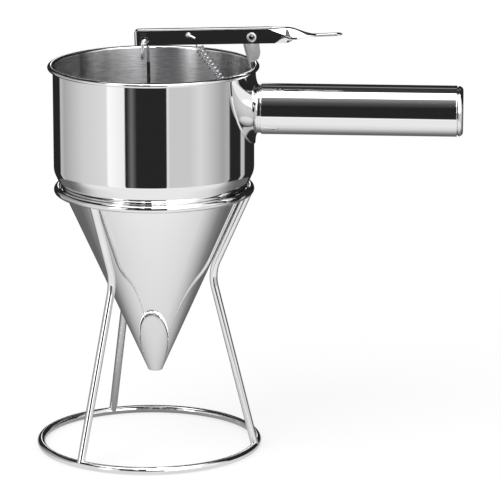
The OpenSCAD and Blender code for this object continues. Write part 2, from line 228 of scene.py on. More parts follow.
def turned(name, outline, steps, axis="Z"):
    """A closed outline of (radius, place along the axis) spun right round."""
    if axis == "Z":
        places = [at(r, 0, z) for r, z in outline]
        centre, way = (0, 0, 0), (0, 0, 1)
    else:
        places = [at(x, 0, HANDLE_Z + r) for r, x in outline]
        centre, way = at(0, 0, HANDLE_Z), (1, 0, 0)
    draw(places + places[:1])
    bpy.ops.mesh.select_all(action="SELECT")
    bpy.ops.mesh.spin(steps=steps, angle=2 * math.pi, center=centre, axis=way)
    merge()
    return done(name)


def bent(corners, bend, steps=10):
    """Places through the corners, each inner corner rounded by the same bend."""
    path = [corners[0]]
    for before, here, after in zip(corners, corners[1:], corners[2:]):
        u = (here - before).normalized()
        v = (after - here).normalized()
        turn = u.angle(v)
        side = (v - u * u.dot(v)).normalized()
        start = here - u * bend * math.tan(turn / 2)
        for k in range(steps + 1):
            q = turn * k / steps
            path.append(start + bend * (u * math.sin(q) + side * (1 - math.cos(q))))
    return path + [corners[-1]]


def wire(name, places, radius, sides=8):
    """Round wire drawn through the places."""
    deselect()
    bpy.ops.curve.primitive_nurbs_path_add(radius=MM)
    bpy.ops.object.mode_set(mode="EDIT")
    bpy.ops.curve.select_all(action="SELECT")
    bpy.ops.curve.delete(type="VERT")
    for place in places:
        bpy.ops.curve.vertex_add(location=place)
    bpy.ops.curve.select_all(action="SELECT")
    bpy.ops.curve.spline_type_set(type="POLY")
    bpy.ops.object.mode_set(mode="OBJECT")
    line = bpy.context.object.data
    line.bevel_depth = radius * MM
    line.bevel_resolution = sides
    line.use_fill_caps = True
    bpy.ops.object.convert(target="MESH")
    edit("VERT")
    merge()
    return done(name, 40)


def skin(name, rows, closed=True):
    """A skin over rows of places, one row after another."""
    deselect()
    mesh = bpy.data.meshes.new(name)
    piece = bpy.data.objects.new(name, mesh)
    bpy.context.scene.collection.objects.link(piece)
    n = len(rows[0])
    faces = []
    for i in range(len(rows) - 1):
        for j in range(n if closed else n - 1):
            k = (j + 1) % n
            faces.append((i * n + j, i * n + k, (i + 1) * n + k, (i + 1) * n + j))
    mesh.from_pydata([p for row in rows for p in row], [], faces)
    piece.select_set(True)
    bpy.context.view_layer.objects.active = piece
    return piece


def modify(piece, kind, **settings):
    """Adds a modifier with its settings and applies it."""
    deselect()
    piece.select_set(True)
    bpy.context.view_layer.objects.active = piece
    modifier = piece.modifiers.new(kind.title(), kind)
    for key, value in settings.items():
        setattr(modifier, key, value)
    bpy.ops.object.modifier_apply(modifier=modifier.name)


def soften(piece, width, angle):
    """Bevels the edges that are sharper than the angle in degrees."""
    modify(
        piece,
        "BEVEL",
        width=width * MM,
        segments=3,
        limit_method="ANGLE",
        angle_limit=math.radians(angle),
    )


def join(name, *pieces):
    deselect()
    for piece in pieces:
        piece.select_set(True)
    bpy.context.view_layer.objects.active = pieces[0]
    bpy.ops.object.join()
    pieces[0].name = name
    pieces[0].data.name = name
    return pieces[0]


def copy_of(node):
    """A merged copy of a CAD node, to be finished further."""
    deselect()
    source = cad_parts[node]
    piece = bpy.data.objects.new(node + "_finished", source.data.copy())
    bpy.context.scene.collection.objects.link(piece)
    piece.select_set(True)
    bpy.context.view_layer.objects.active = piece
    edit("VERT")
    bpy.ops.mesh.select_all(action="SELECT")
    bpy.ops.mesh.remove_doubles(threshold=COPY_GAP * MM)
    bpy.ops.mesh.dissolve_limited(angle_limit=math.radians(1))
    bpy.ops.object.mode_set(mode="OBJECT")
    return piece


# ------------------------------------------------------------- materials


class Tree:
    """A node tree under construction."""

    def __init__(self, tree):
        self.tree = tree

    def add(self, kind, **values):
        made = self.tree.nodes.new(kind)
        for key, value in values.items():
            setattr(made, key, value)
        return made

    def link(self, out, into):
        self.tree.links.new(out, into)


class Finish(Tree):
    """A material under construction: its node tree and its metal shader."""

    def __init__(self, name, colour, roughness):
        self.material = bpy.data.materials.new(name)
        self.material.use_nodes = True
        super().__init__(self.material.node_tree)
        self.shader = self.tree.nodes["Principled BSDF"]
        self.shader.inputs["Metallic"].default_value = 1.0
        self.shader.inputs["Base Color"].default_value = (*colour, 1)
        self.shader.inputs["Roughness"].default_value = roughness
        self.place = self.add("ShaderNodeTexCoord").outputs["Object"]

    def noise(self, stretch, detail=3.0, roughness=0.5):
        """Noise over the piece, with a number of grains per metre along each axis."""
        mapping = self.add("ShaderNodeMapping")
        mapping.inputs["Scale"].default_value = stretch
        self.link(self.place, mapping.inputs["Vector"])
        texture = self.add("ShaderNodeTexNoise")
        texture.inputs["Scale"].default_value = 1.0
        texture.inputs["Detail"].default_value = detail
        texture.inputs["Roughness"].default_value = roughness
        self.link(mapping.outputs["Vector"], texture.inputs["Vector"])
        return texture.outputs["Fac"]

    def spread(self, value, low, high, start=0.3, end=0.7):
        """The value, spread from start..end to low..high."""
        spread = self.add("ShaderNodeMapRange")
        spread.inputs["From Min"].default_value = start
        spread.inputs["From Max"].default_value = end
        spread.inputs["To Min"].default_value = low
        spread.inputs["To Max"].default_value = high
        self.link(value, spread.inputs["Value"])
        return spread.outputs["Result"]

    def rough(self, value, low, high):
        self.link(self.spread(value, low, high), self.shader.inputs["Roughness"])

    def bump(self, value, height, strength=1.0, below=None):
        """Bump of a height in millimetres, over what was bumped before."""
        bump = self.add("ShaderNodeBump")
        bump.inputs["Strength"].default_value = strength
        bump.inputs["Distance"].default_value = height * MM
        self.link(value, bump.inputs["Height"])
        if below is not None:
            self.link(below, bump.inputs["Normal"])
        self.link(bump.outputs["Normal"], self.shader.inputs["Normal"])
        return bump.outputs["Normal"]

    def shade(self, value, dark, light):
        """Base colour between two greys or tints."""
        mix = self.add("ShaderNodeMix", data_type="RGBA")
        mix.inputs[6].default_value = (*dark, 1)
        mix.inputs[7].default_value = (*light, 1)
        self.link(self.spread(value, 0, 1), mix.inputs[0])
        self.link(mix.outputs[2], self.shader.inputs["Base Color"])


def mirror_polish():
    """Buffed sheet steel: a clear mirror with the slight waves of pressed sheet."""
    steel = Finish("mirror_polished_sheet", (0.92, 0.92, 0.925), 0.03)
    steel.shade(steel.noise((9, 9, 9)), (0.90, 0.90, 0.905), (0.94, 0.94, 0.94))
    steel.rough(steel.noise((160, 160, 160), 5), 0.02, 0.045)
    steel.bump(steel.noise((18, 18, 9), 1), 0.05, 0.35)
    return steel.material


def brushed_inside():
    """Sheet steel brushed round the cup: short level scratches and streaks."""
    steel = Finish("brushed_cup_inside", (0.86, 0.86, 0.87), 0.5)
    steel.shader.inputs["Anisotropic"].default_value = 1.0
    steel.shader.inputs["Anisotropic Rotation"].default_value = 0.25
    streaks = steel.noise((130, 130, 1500), 4, 0.6)
    steel.shade(streaks, (0.50, 0.50, 0.51), (0.82, 0.82, 0.83))
    steel.rough(steel.noise((90, 90, 1400), 3), 0.28, 0.34)
    steel.bump(steel.noise((60, 60, 1500), 4, 0.65), 0.01, 0.4)
    return steel.material


def tube_polish():
    """Drawn tube, polished along its length."""
    steel = Finish("polished_handle_tube", (0.92, 0.92, 0.925), 0.04)
    steel.shade(steel.noise((4, 30, 30)), (0.90, 0.90, 0.905), (0.94, 0.94, 0.94))
    steel.rough(steel.noise((40, 300, 300), 4), 0.02, 0.045)
    steel.bump(steel.noise((8, 30, 30), 1), 0.015, 0.3)
    return steel.material


def pressed_polish(name, colour, low, high, wave, grain=0.0):
    """Small pressed pieces: polished or ground, with soft dents and rubbed spots."""
    steel = Finish(name, colour, low)
    steel.shader.inputs["Anisotropic"].default_value = grain
    worn = steel.noise((90, 90, 90), 4)
    steel.shade(worn, tuple(c * 0.93 for c in colour), colour)
    steel.rough(steel.noise((260, 500, 500), 4), low, high)
    steel.bump(steel.noise((70, 70, 70), 1), wave, 0.4)
    return steel.material


def drawn_wire(name, colour, low, high):
    """Bright drawn wire with faint rings and rubbed spots."""
    steel = Finish(name, colour, low)
    steel.shade(steel.noise((50, 50, 50), 4), tuple(c * 0.9 for c in colour), colour)
    steel.rough(steel.noise((400, 400, 400), 3), low, high)
    steel.bump(steel.noise((120, 120, 120), 1), 0.004, 0.3)
    return steel.material


def rod_wire(name, bright, shade_grey, level):
    """Drawn wire, bright at the hook; below a level its colour is a painted shade, a dark grey."""
    steel = Finish(name, bright, 0.06)
    parts = steel.add("ShaderNodeSeparateXYZ")
    steel.link(steel.place, parts.inputs["Vector"])
    depth = steel.spread(parts.outputs["Z"], 0, 1, level * MM, (level + 1) * MM)
    wavy = steel.spread(steel.noise((300, 300, 300), 3), 0.9, 1.0)
    mixed = steel.add("ShaderNodeMath", operation="MULTIPLY")
    steel.link(depth, mixed.inputs[0])
    steel.link(wavy, mixed.inputs[1])
    # Below the level the base colour is the painted shade grey
    steel.shade(mixed.outputs[0], shade_grey, bright)
    steel.link(steel.spread(mixed.outputs[0], 0.06, 0.12, 0, 1), steel.shader.inputs["Roughness"])
    steel.bump(steel.noise((120, 120, 120), 1), 0.004, 0.3)
    return steel.material


MIRROR = mirror_polish()
INSIDE = brushed_inside()
TUBE = tube_polish()
BRACKET = pressed_polish("satin_bracket_sheet", (0.97, 0.97, 0.97), 0.48, 0.56, 0.02, 0.9)
LEVER = pressed_polish("polished_lever_sheet", (0.90, 0.90, 0.91), 0.03, 0.06, 0.01)
RIVET = pressed_polish("bright_rivet", (0.98, 0.98, 0.98), 0.34, 0.42, 0.0)
STAND = drawn_wire("bright_stand_wire", (0.93, 0.93, 0.935), 0.015, 0.035)
# The rod's colour below 249 mm is painted shade
ROD = rod_wire("valve_rod_wire", (0.97, 0.97, 0.97), (0.16, 0.16, 0.16), 249.0)
# Near black for bores and edges: partly their own unpolished steel, partly painted shade
DULL_SHADED_FINISH = pressed_polish("dull_bore_and_edge_painted_shade", (0.12, 0.12, 0.12), 0.4, 0.5, 0.0)
SPRING = drawn_wire("spring_wire", (0.98, 0.98, 0.98), 0.10, 0.14)
PLUG = drawn_wire("turned_plug", (0.80, 0.80, 0.81), 0.12, 0.25)


def finish_piece(piece, material, body, slot, *nodes):
    """Gives the piece its material and body, and hides the CAD nodes that it replaces. The slot is
    not used.
    """
    piece.data.materials.clear()
    piece.data.materials.append(material)
    if body:
        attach(piece, body)
    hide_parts(*nodes)


def brush_inside(piece, below):
    """Gives the faces that look towards the axis the brushed finish."""
    piece.data.materials.append(INSIDE)
    for face in piece.data.polygons:
        out = Vector((face.center.x, face.center.y, 0))
        if face.normal.dot(out) < 0 and face.center.z < below * MM:
            face.material_index = 1


# ---------------------------------------------------------------- funnel


def model_cup():
    turn = SHOULDER_R * math.tan(SLOPE_A / 2)
    cx, cz = CUP_R - SHOULDER_R, SHOULDER_Z + turn
    lean = math.degrees(SLOPE_A)
    half_w = (RIM_R - CUP_IN) / 2
    mid = CUP_IN + half_w
    bead = arc(mid, BEAD_Z, half_w, BEAD_H / 2, *BEAD_ARC, 40)
    outline = [(cone_r(SEAT_Z), SEAT_Z)]
    outline += arc(cx, cz, SHOULDER_R, SHOULDER_R, -lean, 0, 20)
    outline += [(CUP_R, z) for z in CUP_RINGS] + [(CUP_R, bead[0][1] + 0.05)]
    outline += bead
    outline += [(CUP_IN, z) for z in reversed(CUP_RINGS)]
    inner = SHOULDER_R - SHEET
    outline += arc(cx, cz, inner, inner, 0, -lean, 20)
    outline += [(cone_r(SEAT_Z) - SHEET_ACROSS, SEAT_Z)]
    cup = turned("polished_cup", outline, FUNNEL_STEPS)
    finish_piece(cup, MIRROR, "funnel", "polished_steel", "cup")
    brush_inside(cup, BEAD_Z)


def model_cone():
    low = TIP_Z + LIP_R
    lip = arc(OUTLET_R + LIP_R, low, LIP_R, LIP_R, *LIP_ARC, 12)
    rise = [low + 1 + (SEAT_Z - low - 1) * i / 24 for i in range(25)]
    outline = lip + [(cone_r(z), z) for z in rise]
    outline += [(cone_r(z) - SHEET_ACROSS, z) for z in reversed(rise)]
    cone = turned("polished_cone", outline, FUNNEL_STEPS)
    finish_piece(cone, MIRROR, "funnel", "polished_steel", "cone")
    brush_inside(cone, SEAT_Z + 1)


# ---------------------------------------------------------------- handle


def shield(a):
    """Where a ray from the handle's axis at angle a meets the socket's shield outline."""
    up = SOCKET_TOP - HANDLE_Z
    high = SOCKET_TOP - SOCKET_Z
    ca, sa = math.cos(a) / SOCKET_W, math.sin(a) / high
    k = up / high
    inside = k * k * sa * sa - (ca * ca + sa * sa) * (k * k - 1)
    reach = (k * sa + math.sqrt(inside)) / (ca * ca + sa * sa)
    if math.sin(a) > 0:
        reach = min(reach, up / math.sin(a))
    return reach * math.cos(a), reach * math.sin(a)


def wall_x(y, r=CUP_R):
    return math.sqrt(r * r - y * y)


def model_socket():
    turns = [2 * math.pi * j / SOCKET_STEPS for j in range(SOCKET_STEPS)]
    edge = []
    for a in turns:
        s = shield(a)
        w = s[0] / CUP_R
        edge.append((CUP_R * math.sin(w), HANDLE_Z + s[1]))
    neck = [(NECK_R * math.cos(a), HANDLE_Z + NECK_R * math.sin(a)) for a in turns]
    rows = [[at(wall_x(y, CUP_R + SOCKET_GAP), y, z) for y, z in edge]]
    steps = 36
    for i in range(steps + 1):
        q = math.pi / 2 * i / steps
        row = []
        for (ey, ez), (ny, nz) in zip(edge, neck):
            y = ey + (ny - ey) * math.sin(q)
            z = ez + (nz - ez) * math.sin(q)
            rise = SOCKET_END - wall_x(ny) - SOCKET_EDGE
            row.append(at(wall_x(y) + SOCKET_EDGE + rise * (1 - math.cos(q)), y, z))
        rows.append(row)
    socket = skin("polished_socket", rows)
    edit("EDGE")
    bpy.ops.mesh.select_all(action="DESELECT")
    bpy.ops.mesh.select_non_manifold(extend=False)
    bpy.ops.mesh.edge_face_add()
    merge()
    socket = done("polished_socket", 40)
    finish_piece(socket, MIRROR, "funnel", "polished_steel", "handle_socket")


def model_collar():
    outline = [(0, SOCKET_END), (NECK_R - 0.3, SOCKET_END), (NECK_R, SOCKET_END + 0.2)]
    outline += [(NECK_R, TUBE_X), (SPIGOT_R, TUBE_X)]
    outline += [(SPIGOT_R, TUBE_X + SPIGOT_LEN), (0, TUBE_X + SPIGOT_LEN)]
    collar = turned("handle_neck_collar", outline, COLLAR_STEPS, axis="X")
    finish_piece(collar, TUBE, "funnel", "polished_steel", "handle_collar")


def model_tube():
    near, far, beside = TUBE_NEAR_R, TUBE_FAR_R, 0.2
    inner = TUBE_R - TUBE_WALL
    outline = [(inner, TUBE_X)]
    outline += arc(TUBE_R - near, TUBE_X + near, near, near, -90, 0, 8)
    outline += [(TUBE_R, TUBE_X + near + beside), (TUBE_R, TUBE_X + 60)]
    outline += [(TUBE_R, TUBE_END - far - beside)]
    outline += arc(TUBE_R - far, TUBE_END - far, far, far, 0, 90, 5)
    outline += [(inner, TUBE_END)]
    tube = turned("polished_tube", outline, HANDLE_STEPS, axis="X")
    finish_piece(tube, TUBE, "funnel", "polished_steel", "handle_tube")


def model_end_cap():
    full = TUBE_R - CAP_INSET
    outline = [(0, TUBE_END - SPIGOT_LEN), (SPIGOT_R, TUBE_END - SPIGOT_LEN)]
    outline += [(SPIGOT_R, TUBE_END)]
    outline += [(full - CAP_SEAM_DEPTH, TUBE_END), (full - CAP_SEAM_DEPTH, TUBE_END + CAP_SEAM)]
    side_x = TUBE_END + CAP_SEAM + CAP_INSET
    long_r = TUBE_END + CAP_LEN - side_x
    outline += arc(full - CAP_EDGE_R, side_x, CAP_EDGE_R, long_r, 8, 90, 18)
    outline += [(8, TUBE_END + CAP_LEN), (0, TUBE_END + CAP_LEN)]
    cap = turned("polished_end_cap", outline, HANDLE_STEPS, axis="X")
    finish_piece(cap, TUBE, "funnel", "polished_steel", "handle_end_cap")


# ------------------------------------------------- bracket, rivet, lever


def on_lever(x, y, z):
    """A place given in the lever's own frame, which starts at the pivot."""
    c, s = math.cos(LEVER_TILT), math.sin(LEVER_TILT)
    return at(PIVOT_X + x * c - z * s, y, PIVOT_Z + x * s + z * c)


def model_bracket():
    bracket = copy_of("pivot_bracket")
    soften(bracket, 0.18, 32)
    bracket = done("folded_bracket", 35)
    finish_piece(bracket, BRACKET, "funnel", "bracket_steel", "pivot_bracket")


def model_rivet():
    reach = LEVER_W / 2 + RIVET_LIFT
    roll = (RIVET_HEAD_R - RIVET_BORE_R) / 2
    middle = RIVET_BORE_R + roll
    outline = [(RIVET_R, reach)] + arc(middle, reach, roll, roll * RIVET_ROLL, 0, 180, 14)
    outline += arc(middle, -reach, roll, roll * RIVET_ROLL, 180, 360, 14)
    outline += [(RIVET_R, -reach)]
    places = [at(PIVOT_X + r, y, PIVOT_Z) for r, y in outline]
    draw(places + places[:1])
    bpy.ops.mesh.select_all(action="SELECT")
    bpy.ops.mesh.spin(
        steps=RIVET_STEPS, angle=2 * math.pi, center=at(PIVOT_X, 0, PIVOT_Z), axis=(0, 1, 0)
    )
    merge()
    rivet = done("tubular_rivet", 40)
    finish_piece(rivet, RIVET, "funnel", "bracket_steel", "pivot_rivet")
    # The bore and its rim get the dark finish, partly unpolished and partly painted shade
    rivet.data.materials.append(DULL_SHADED_FINISH)
    for face in rivet.data.polygons:
        out = face.center - on_lever(0, 0, 0)
        if math.hypot(out.x, out.z) < (RIVET_BORE_R + RIVET_DULL_SHADED_RIM) * MM:
            face.material_index = 1


def follow(knots, x):
    """The value at x on a smooth line through (x, value) knots."""
    if x <= knots[0][0]:
        return knots[0][1]
    if x >= knots[-1][0]:
        return knots[-1][1]
    i = max(k for k, knot in enumerate(knots) if knot[0] <= x)
    (x0, v0), (x1, v1) = knots[i : i + 2]
    m0, m1 = 0.0, 0.0
    if i > 0:
        m0 = (v1 - knots[i - 1][1]) / (x1 - knots[i - 1][0]) * (x1 - x0)
    if i + 2 < len(knots):
        m1 = (knots[i + 2][1] - v0) / (knots[i + 2][0] - x0) * (x1 - x0)
    t = (x - x0) / (x1 - x0)
    bow = (v0 - v1) * 2 + m0 + m1
    rise = (v1 - v0) * 3 - m0 * 2 - m1
    return v0 + t * (m0 + t * (rise + t * bow))


# Lever behind the pivot, by distance from it. The side's upper and lower creases run together
# into one fold; over it the side leans in to the top, under it to the lower edge.
TOP_Z = ((14, 5.3), (21, 5.3), (24, 5.1), (27, 4.4), (30.4, 3.1), (33.5, 1.9), (36.7, 1.0))
TOP_Z += ((39, 0.62), (42, 0.6), (56.5, 0.95))
TOP_HALF = ((10, 4.35), (12, 4.0), (14, 3.1), (18, 2.4), (22, 2.1), (26, 1.9), (30, 1.9))
TOP_HALF += ((33, 2.2), (37, 2.8), (45, 3.4), (56.5, 3.4))
CREASE_Z = ((10, 5.05), (12, 4.6), (13.5, 3.8), (16, 2.8), (18, 1.8), (20, 0.7), (22, -0.3))
CREASE_Z += ((24, -0.85), (27, -1.0), (30.4, -0.6), (33.5, 0.0), (37, 0.25), (42, 0.3))
CREASE_Z += ((56.5, 0.65),)
FOLD_Z = ((13, -3.9), (15, -3.3), (18, -1.9), (20, -1.4), (22, -1.6), (24, -1.85))
FOLD_Z += ((27, -1.8), (30.4, -1.1), (33.5, -0.5), (37, -0.15), (42, -0.1), (56.5, 0.25))
FOLD_HALF = ((11, 4.5), (18, 4.5), (21, 5.0), (24, 5.6), (28, 5.6), (31, 5.1), (34, 4.4))
FOLD_HALF += ((37, 3.9), (40, 3.7), (56.5, 3.7))
EDGE_Z = ((14, -4.1), (20.5, -4.1), (22.5, -3.9), (24.5, -3.2), (26.5, -2.4), (30.4, -1.4))
EDGE_Z += ((33.5, -0.7), (37, -0.35), (42, -0.35), (56.5, 0.0))
EDGE_HALF = ((13, 4.5), (16, 4.1), (19, 3.4), (22, 3.7), (25, 4.7), (28, 5.4), (31, 5.0))
EDGE_HALF += ((34, 4.3), (37, 3.8), (40, 3.6), (56.5, 3.6))

# How much the top of the lever bulges over its edges, and how far its corners are cut off
TOP_BULGE = 0.18
LEVER_CUT = 1.1


def rounded(before, corner, after, r, count):
    """Points of a corner that is cut off r from it on both sides and rounded."""
    start = corner + (before - corner).normalized() * min(r, (before - corner).length * 0.48)
    end = corner + (after - corner).normalized() * min(r, (after - corner).length * 0.48)
    points = []
    for i in range(count + 1):
        t = i / count
        points.append(start.lerp(corner, t).lerp(corner.lerp(end, t), t))
    return points


def lever_row(x, corners):
    """Places across the lever's outer skin at x, from one lower edge over to the other."""
    corners = [Vector(corner) for corner in corners]
    corners.append(Vector((0, corners[-1].y)))
    corners[-2].y -= TOP_BULGE
    side = [corners[0]]
    for before, here, after in zip(corners, corners[1:], corners[2:]):
        side += rounded(before, here, after, LEVER_CUT, 5)
    for share in (0.7, 0.35):
        side.append(Vector((corners[-2].x * share, corners[-1].y - TOP_BULGE * share * share)))
    back = [(-p.x, p.y) for p in reversed(side)]
    places = [tuple(p) for p in side] + [(0.0, corners[-1].y)] + back
    return [on_lever(x, y, z) for y, z in places]


def model_lever():
    rows = []
    for i in range(7):
        q = math.radians(15 * i)
        d = LEVER_NOSE_R * (1 - math.sin(q))
        half, top = LEVER_W / 2 - d, LEVER_TOP - d
        corners = [(half, LEVER_LOW), (half, LEVER_LOW + 0.2)]
        corners += [(half, top - 0.3), (half - 0.15, top)]
        x = LEVER_FRONT + LEVER_NOSE_R * (1 - math.cos(q))
        rows.append(lever_row(x, corners))
    stations = [-70, -66, -56, -44, -32, -20, -8, 0, 6, 10]
    stations += [11 + i * 0.5 for i in range(62)]
    stations += [43, 45, 47.5, 50, 52]
    for x in stations:
        corners = [
            (follow(EDGE_HALF, x), follow(EDGE_Z, x)),
            (follow(FOLD_HALF, x), follow(FOLD_Z, x)),
            (follow(FOLD_HALF, x), follow(CREASE_Z, x)),
            (follow(TOP_HALF, x), follow(TOP_Z, x)),
        ]
        rows.append(lever_row(x, corners))
    for i in range(10):
        q = math.radians(9.5 * i)
        half = max(0.6, LEVER_END_R * math.cos(q))
        corners = [(half, 0.0), (half, 0.25), (half, 0.65), (half - 0.3, 0.95)]
        x = LEVER_END - LEVER_END_R + LEVER_END_R * math.sin(q)
        rows.append(lever_row(x, corners))
    lever = skin("lever_sheet", rows, closed=False)
    lever = close_lever(lever, len(rows[0]))
    finish_piece(lever, LEVER, "lever", "lever_steel", "lever")
    # The hook hole's wall and the front end get the dark finish, partly unpolished and partly
    # painted shade
    lever.data.materials.append(DULL_SHADED_FINISH)
    hole = on_lever(HOOK_X, 0, HOOK_HOLE_Z)
    for face in lever.data.polygons:
        out = face.center - hole
        if out.y < 0 and math.hypot(out.x, out.z) < (HOOK_HOLE_R + 0.02) * MM:
            face.material_index = 1
        if face.center.x < on_lever(LEVER_FRONT + LEVER_DULL_SHADED_END, 0, 0).x:
            face.material_index = 1


def close_lever(lever, first):
    """Closes the nose, gives the skin its thickness and bores the holes."""
    edit("EDGE")
    bpy.ops.mesh.select_all(action="DESELECT")
    work = bmesh.from_edit_mesh(lever.data)
    for vert in work.verts:
        vert.select = vert.index < first
    work.select_flush(True)
    bmesh.update_edit_mesh(lever.data)
    bpy.ops.mesh.edge_face_add()
    bpy.ops.mesh.select_all(action="SELECT")
    bpy.ops.mesh.normals_make_consistent(inside=False)
    bpy.ops.object.mode_set(mode="OBJECT")
    modify(lever, "SOLIDIFY", thickness=LEVER_T * LEVER_SKIN * MM, offset=-1)
    bore(lever, on_lever(HOOK_X, -LEVER_W / 2, HOOK_HOLE_Z), HOOK_HOLE_R, LEVER_W / 2)
    bore(lever, on_lever(0, 0, 0), RIVET_R + PIVOT_SLACK, LEVER_W + 2)
    return done("lever_sheet", 50)


def bore(piece, place, radius, length):
    """Bores the piece across at the place."""
    deselect()
    bpy.ops.mesh.primitive_cylinder_add(
        vertices=64, radius=radius * MM, depth=length * MM, location=place,
        rotation=(math.pi / 2, 0, 0)
    )
    drill = bpy.context.object
    modify(piece, "BOOLEAN", operation="DIFFERENCE", object=drill, solver="EXACT")
    bpy.data.objects.remove(drill)
    deselect()
    piece.select_set(True)
    bpy.context.view_layer.objects.active = piece


def ball(name, radius, place, squash, segments, rings):
    """A ball, squashed about its centre."""
    deselect()
    bpy.ops.mesh.primitive_uv_sphere_add(
        segments=segments, ring_count=rings, radius=radius * MM, location=place
    )
    piece = bpy.context.object
    bpy.ops.object.transform_apply(location=True)
    edit("FACE")
    bpy.ops.mesh.select_all(action="SELECT")
    bpy.ops.transform.resize(value=squash, center_override=place)
    done(name, 60)
    return piece


def model_pin():
    side = LEVER_W / 2
    shank_way = [on_lever(PIN_X, 5.4, PIN_Z), on_lever(PIN_X, -5.5, PIN_Z)]
    shank = wire("pin_shank", shank_way, PIN_WIRE_R)
    head_place = on_lever(PIN_X, -side - 1, PIN_Z)
    head = ball("pin_head", PIN_HEAD_R, head_place, (1, 0.86, 1.04), 40, 24)
    tail_way = [(0, -5.8, 0), (1.6, -5.9, -0.7), (3.0, -5.8, -1.4), (4.2, -5.5, -2.0)]
    tail_way = [on_lever(PIN_X + x, y, PIN_Z + z) for x, y, z in tail_way]
    tail = wire("pin_tail", tail_way, PIN_TAIL_R)
    stub_place = on_lever(PIN_X, side + PIN_STUB_R, PIN_Z)
    stub = ball("pin_stub", PIN_STUB_R, stub_place, (1, 0.8, 1), 32, 16)
    pin = join("spring_cross_pin", shank, head, tail, stub)
    finish_piece(pin, RIVET, "lever", "bracket_steel", "spring_pin")


# ----------------------------------------------------------- spring, rod

COIL_R = 3.2
COIL_WIRE_R = 0.4
COIL_PITCH = 2.6
COIL_TURNS = 16
SKIN_GAP = 0.02
BRACKET_T = 1
LUG_R = 2.6
LUG_GAP = 0.6
STRAP_X = CUP_IN - SKIN_GAP - BRACKET_T
LUG_X = STRAP_X - LUG_R - LUG_GAP
LUG_Z = 218.0
LUG_HOLE_R = 1.1
SPRING_SLACK = 0.3

# Where the coil starts round the spring, in degrees, and how far it is from the lower hook
COIL_START = 70
COIL_LEAD = 4.6

# The rod: how its hook is turned from the lever's side, how far that lies over the hole's
# middle, its half width, its bends, the free leg's length, and the height of the rod's foot
HOOK_TURN = math.radians(32)
HOOK_RISE = 0.35
HOOK_REACH = 2.7
HOOK_BEND = 2.6
HOOK_LEG = 11.6
ROD_FOOT_Z = TIP_Z + 4.6


def spring_path():
    """Places along the spring: lower hook, coil, and upper hook round the pin."""
    pin = on_lever(PIN_X, 0, PIN_Z) / MM
    lug = Vector((LUG_X, 0, LUG_Z))
    length = (pin - lug).length
    along = (pin - lug) / length
    beside = Vector((along.z, 0, -along.x))
    across = Vector((0, 1, 0))
    mid = COIL_R - COIL_WIRE_R
    low = LUG_HOLE_R - COIL_WIRE_R - SPRING_SLACK
    begin = low + mid + COIL_LEAD
    end = begin + COIL_TURNS * COIL_PITCH
    top = PIN_WIRE_R + SPRING_SLACK + COIL_WIRE_R

    def place(w, b, c):
        return (lug + along * w + beside * b + across * c) * MM

    path = [place(low + mid + w, 0, -mid) for w in (1.2, 0.6, 0)]
    for i in range(15):
        q = math.radians(168 - 12 * i)
        path.append(place(low + mid * (1 - math.sin(q)), 0, mid * math.cos(q)))
    path += [place(low + mid + w, 0, mid) for w in (0, 0.8, 1.6)]
    for turn, w in ((7, -2.1), (22, -1.2), (42, -0.5)):
        q = math.radians(turn)
        path.append(place(begin + w, mid * math.sin(q), mid * math.cos(q)))
    steps = 16
    for i in range(steps * COIL_TURNS + 1):
        q = math.radians(COIL_START + 360 / steps * i)
        path.append(place(begin + i * COIL_PITCH / steps, mid * math.sin(q), mid * math.cos(q)))
    for i in range(1, 6):
        r = mid * (1 - i / 5) * (1 + 0.08 * i)
        q = math.radians(COIL_START + 40 * i)
        path.append(place(end + 0.35 * i + 0.08 * i * i, r * math.sin(q), r * math.cos(q)))
    w = end + 5
    while w < length - 3.4:
        path.append(place(w, 0, 0))
        w += 1.5
    for b, w in ((0.3, 2.4), (0.72, 1.5), (0.96, 0.7)):
        path.append(place(length - w, -top * b, 0))
    for i in range(19):
        q = math.radians(180 - 12 * i)
        path.append(place(length + top * math.sin(q), top * math.cos(q), 0))
    return path, lug * MM, pin * MM


def model_spring():
    path, lug, pin = spring_path()
    spring = wire("return_spring_wire", path, COIL_WIRE_R, sides=4)
    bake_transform(spring)
    finish_piece(spring, SPRING, None, "spring_steel", "return_spring")


def model_rod():
    middle = on_lever(HOOK_X, 0, HOOK_HOLE_Z) / MM
    here = Vector((middle.x, -(LEVER_W - LEVER_T) / 2, middle.z + HOOK_RISE))
    reach = Vector((-math.sin(HOOK_TURN), -math.cos(HOOK_TURN), 0)) * HOOK_REACH
    corners = [Vector((0, 0, ROD_FOOT_Z)), here - reach, here + reach]
    corners.append(here + reach - Vector((0, 0, HOOK_LEG)))
    path = [p * MM for p in bent(corners, HOOK_BEND, 16)]
    rod = wire("valve_rod_wire", path, ROD_R, sides=8)
    finish_piece(rod, ROD, "valve", "rod_steel", "valve_rod")


def model_plug():
    plug = copy_of("valve_plug")
    soften(plug, 0.2, 30)
    plug = done("turned_valve_plug", 35)
    finish_piece(plug, PLUG, "valve", "rod_steel", "valve_plug")


# ----------------------------------------------------------------- stand


def model_ring(name, radius, x, z, node):
    deselect()
    bpy.ops.mesh.primitive_circle_add(
        vertices=36,
        radius=WIRE_R * MM,
        location=at(x + radius, 0, z),
        rotation=(math.pi / 2, 0, 0),
    )
    bpy.ops.object.transform_apply(location=True, rotation=True)
    edit("VERT")
    bpy.ops.mesh.select_all(action="SELECT")
    bpy.ops.mesh.spin(
        steps=RING_STEPS, angle=2 * math.pi, center=at(x, 0, 0), axis=(0, 0, 1)
    )
    merge()
    ring = done(name, 60)
    finish_piece(ring, STAND, "stand", "stand_wire", node)


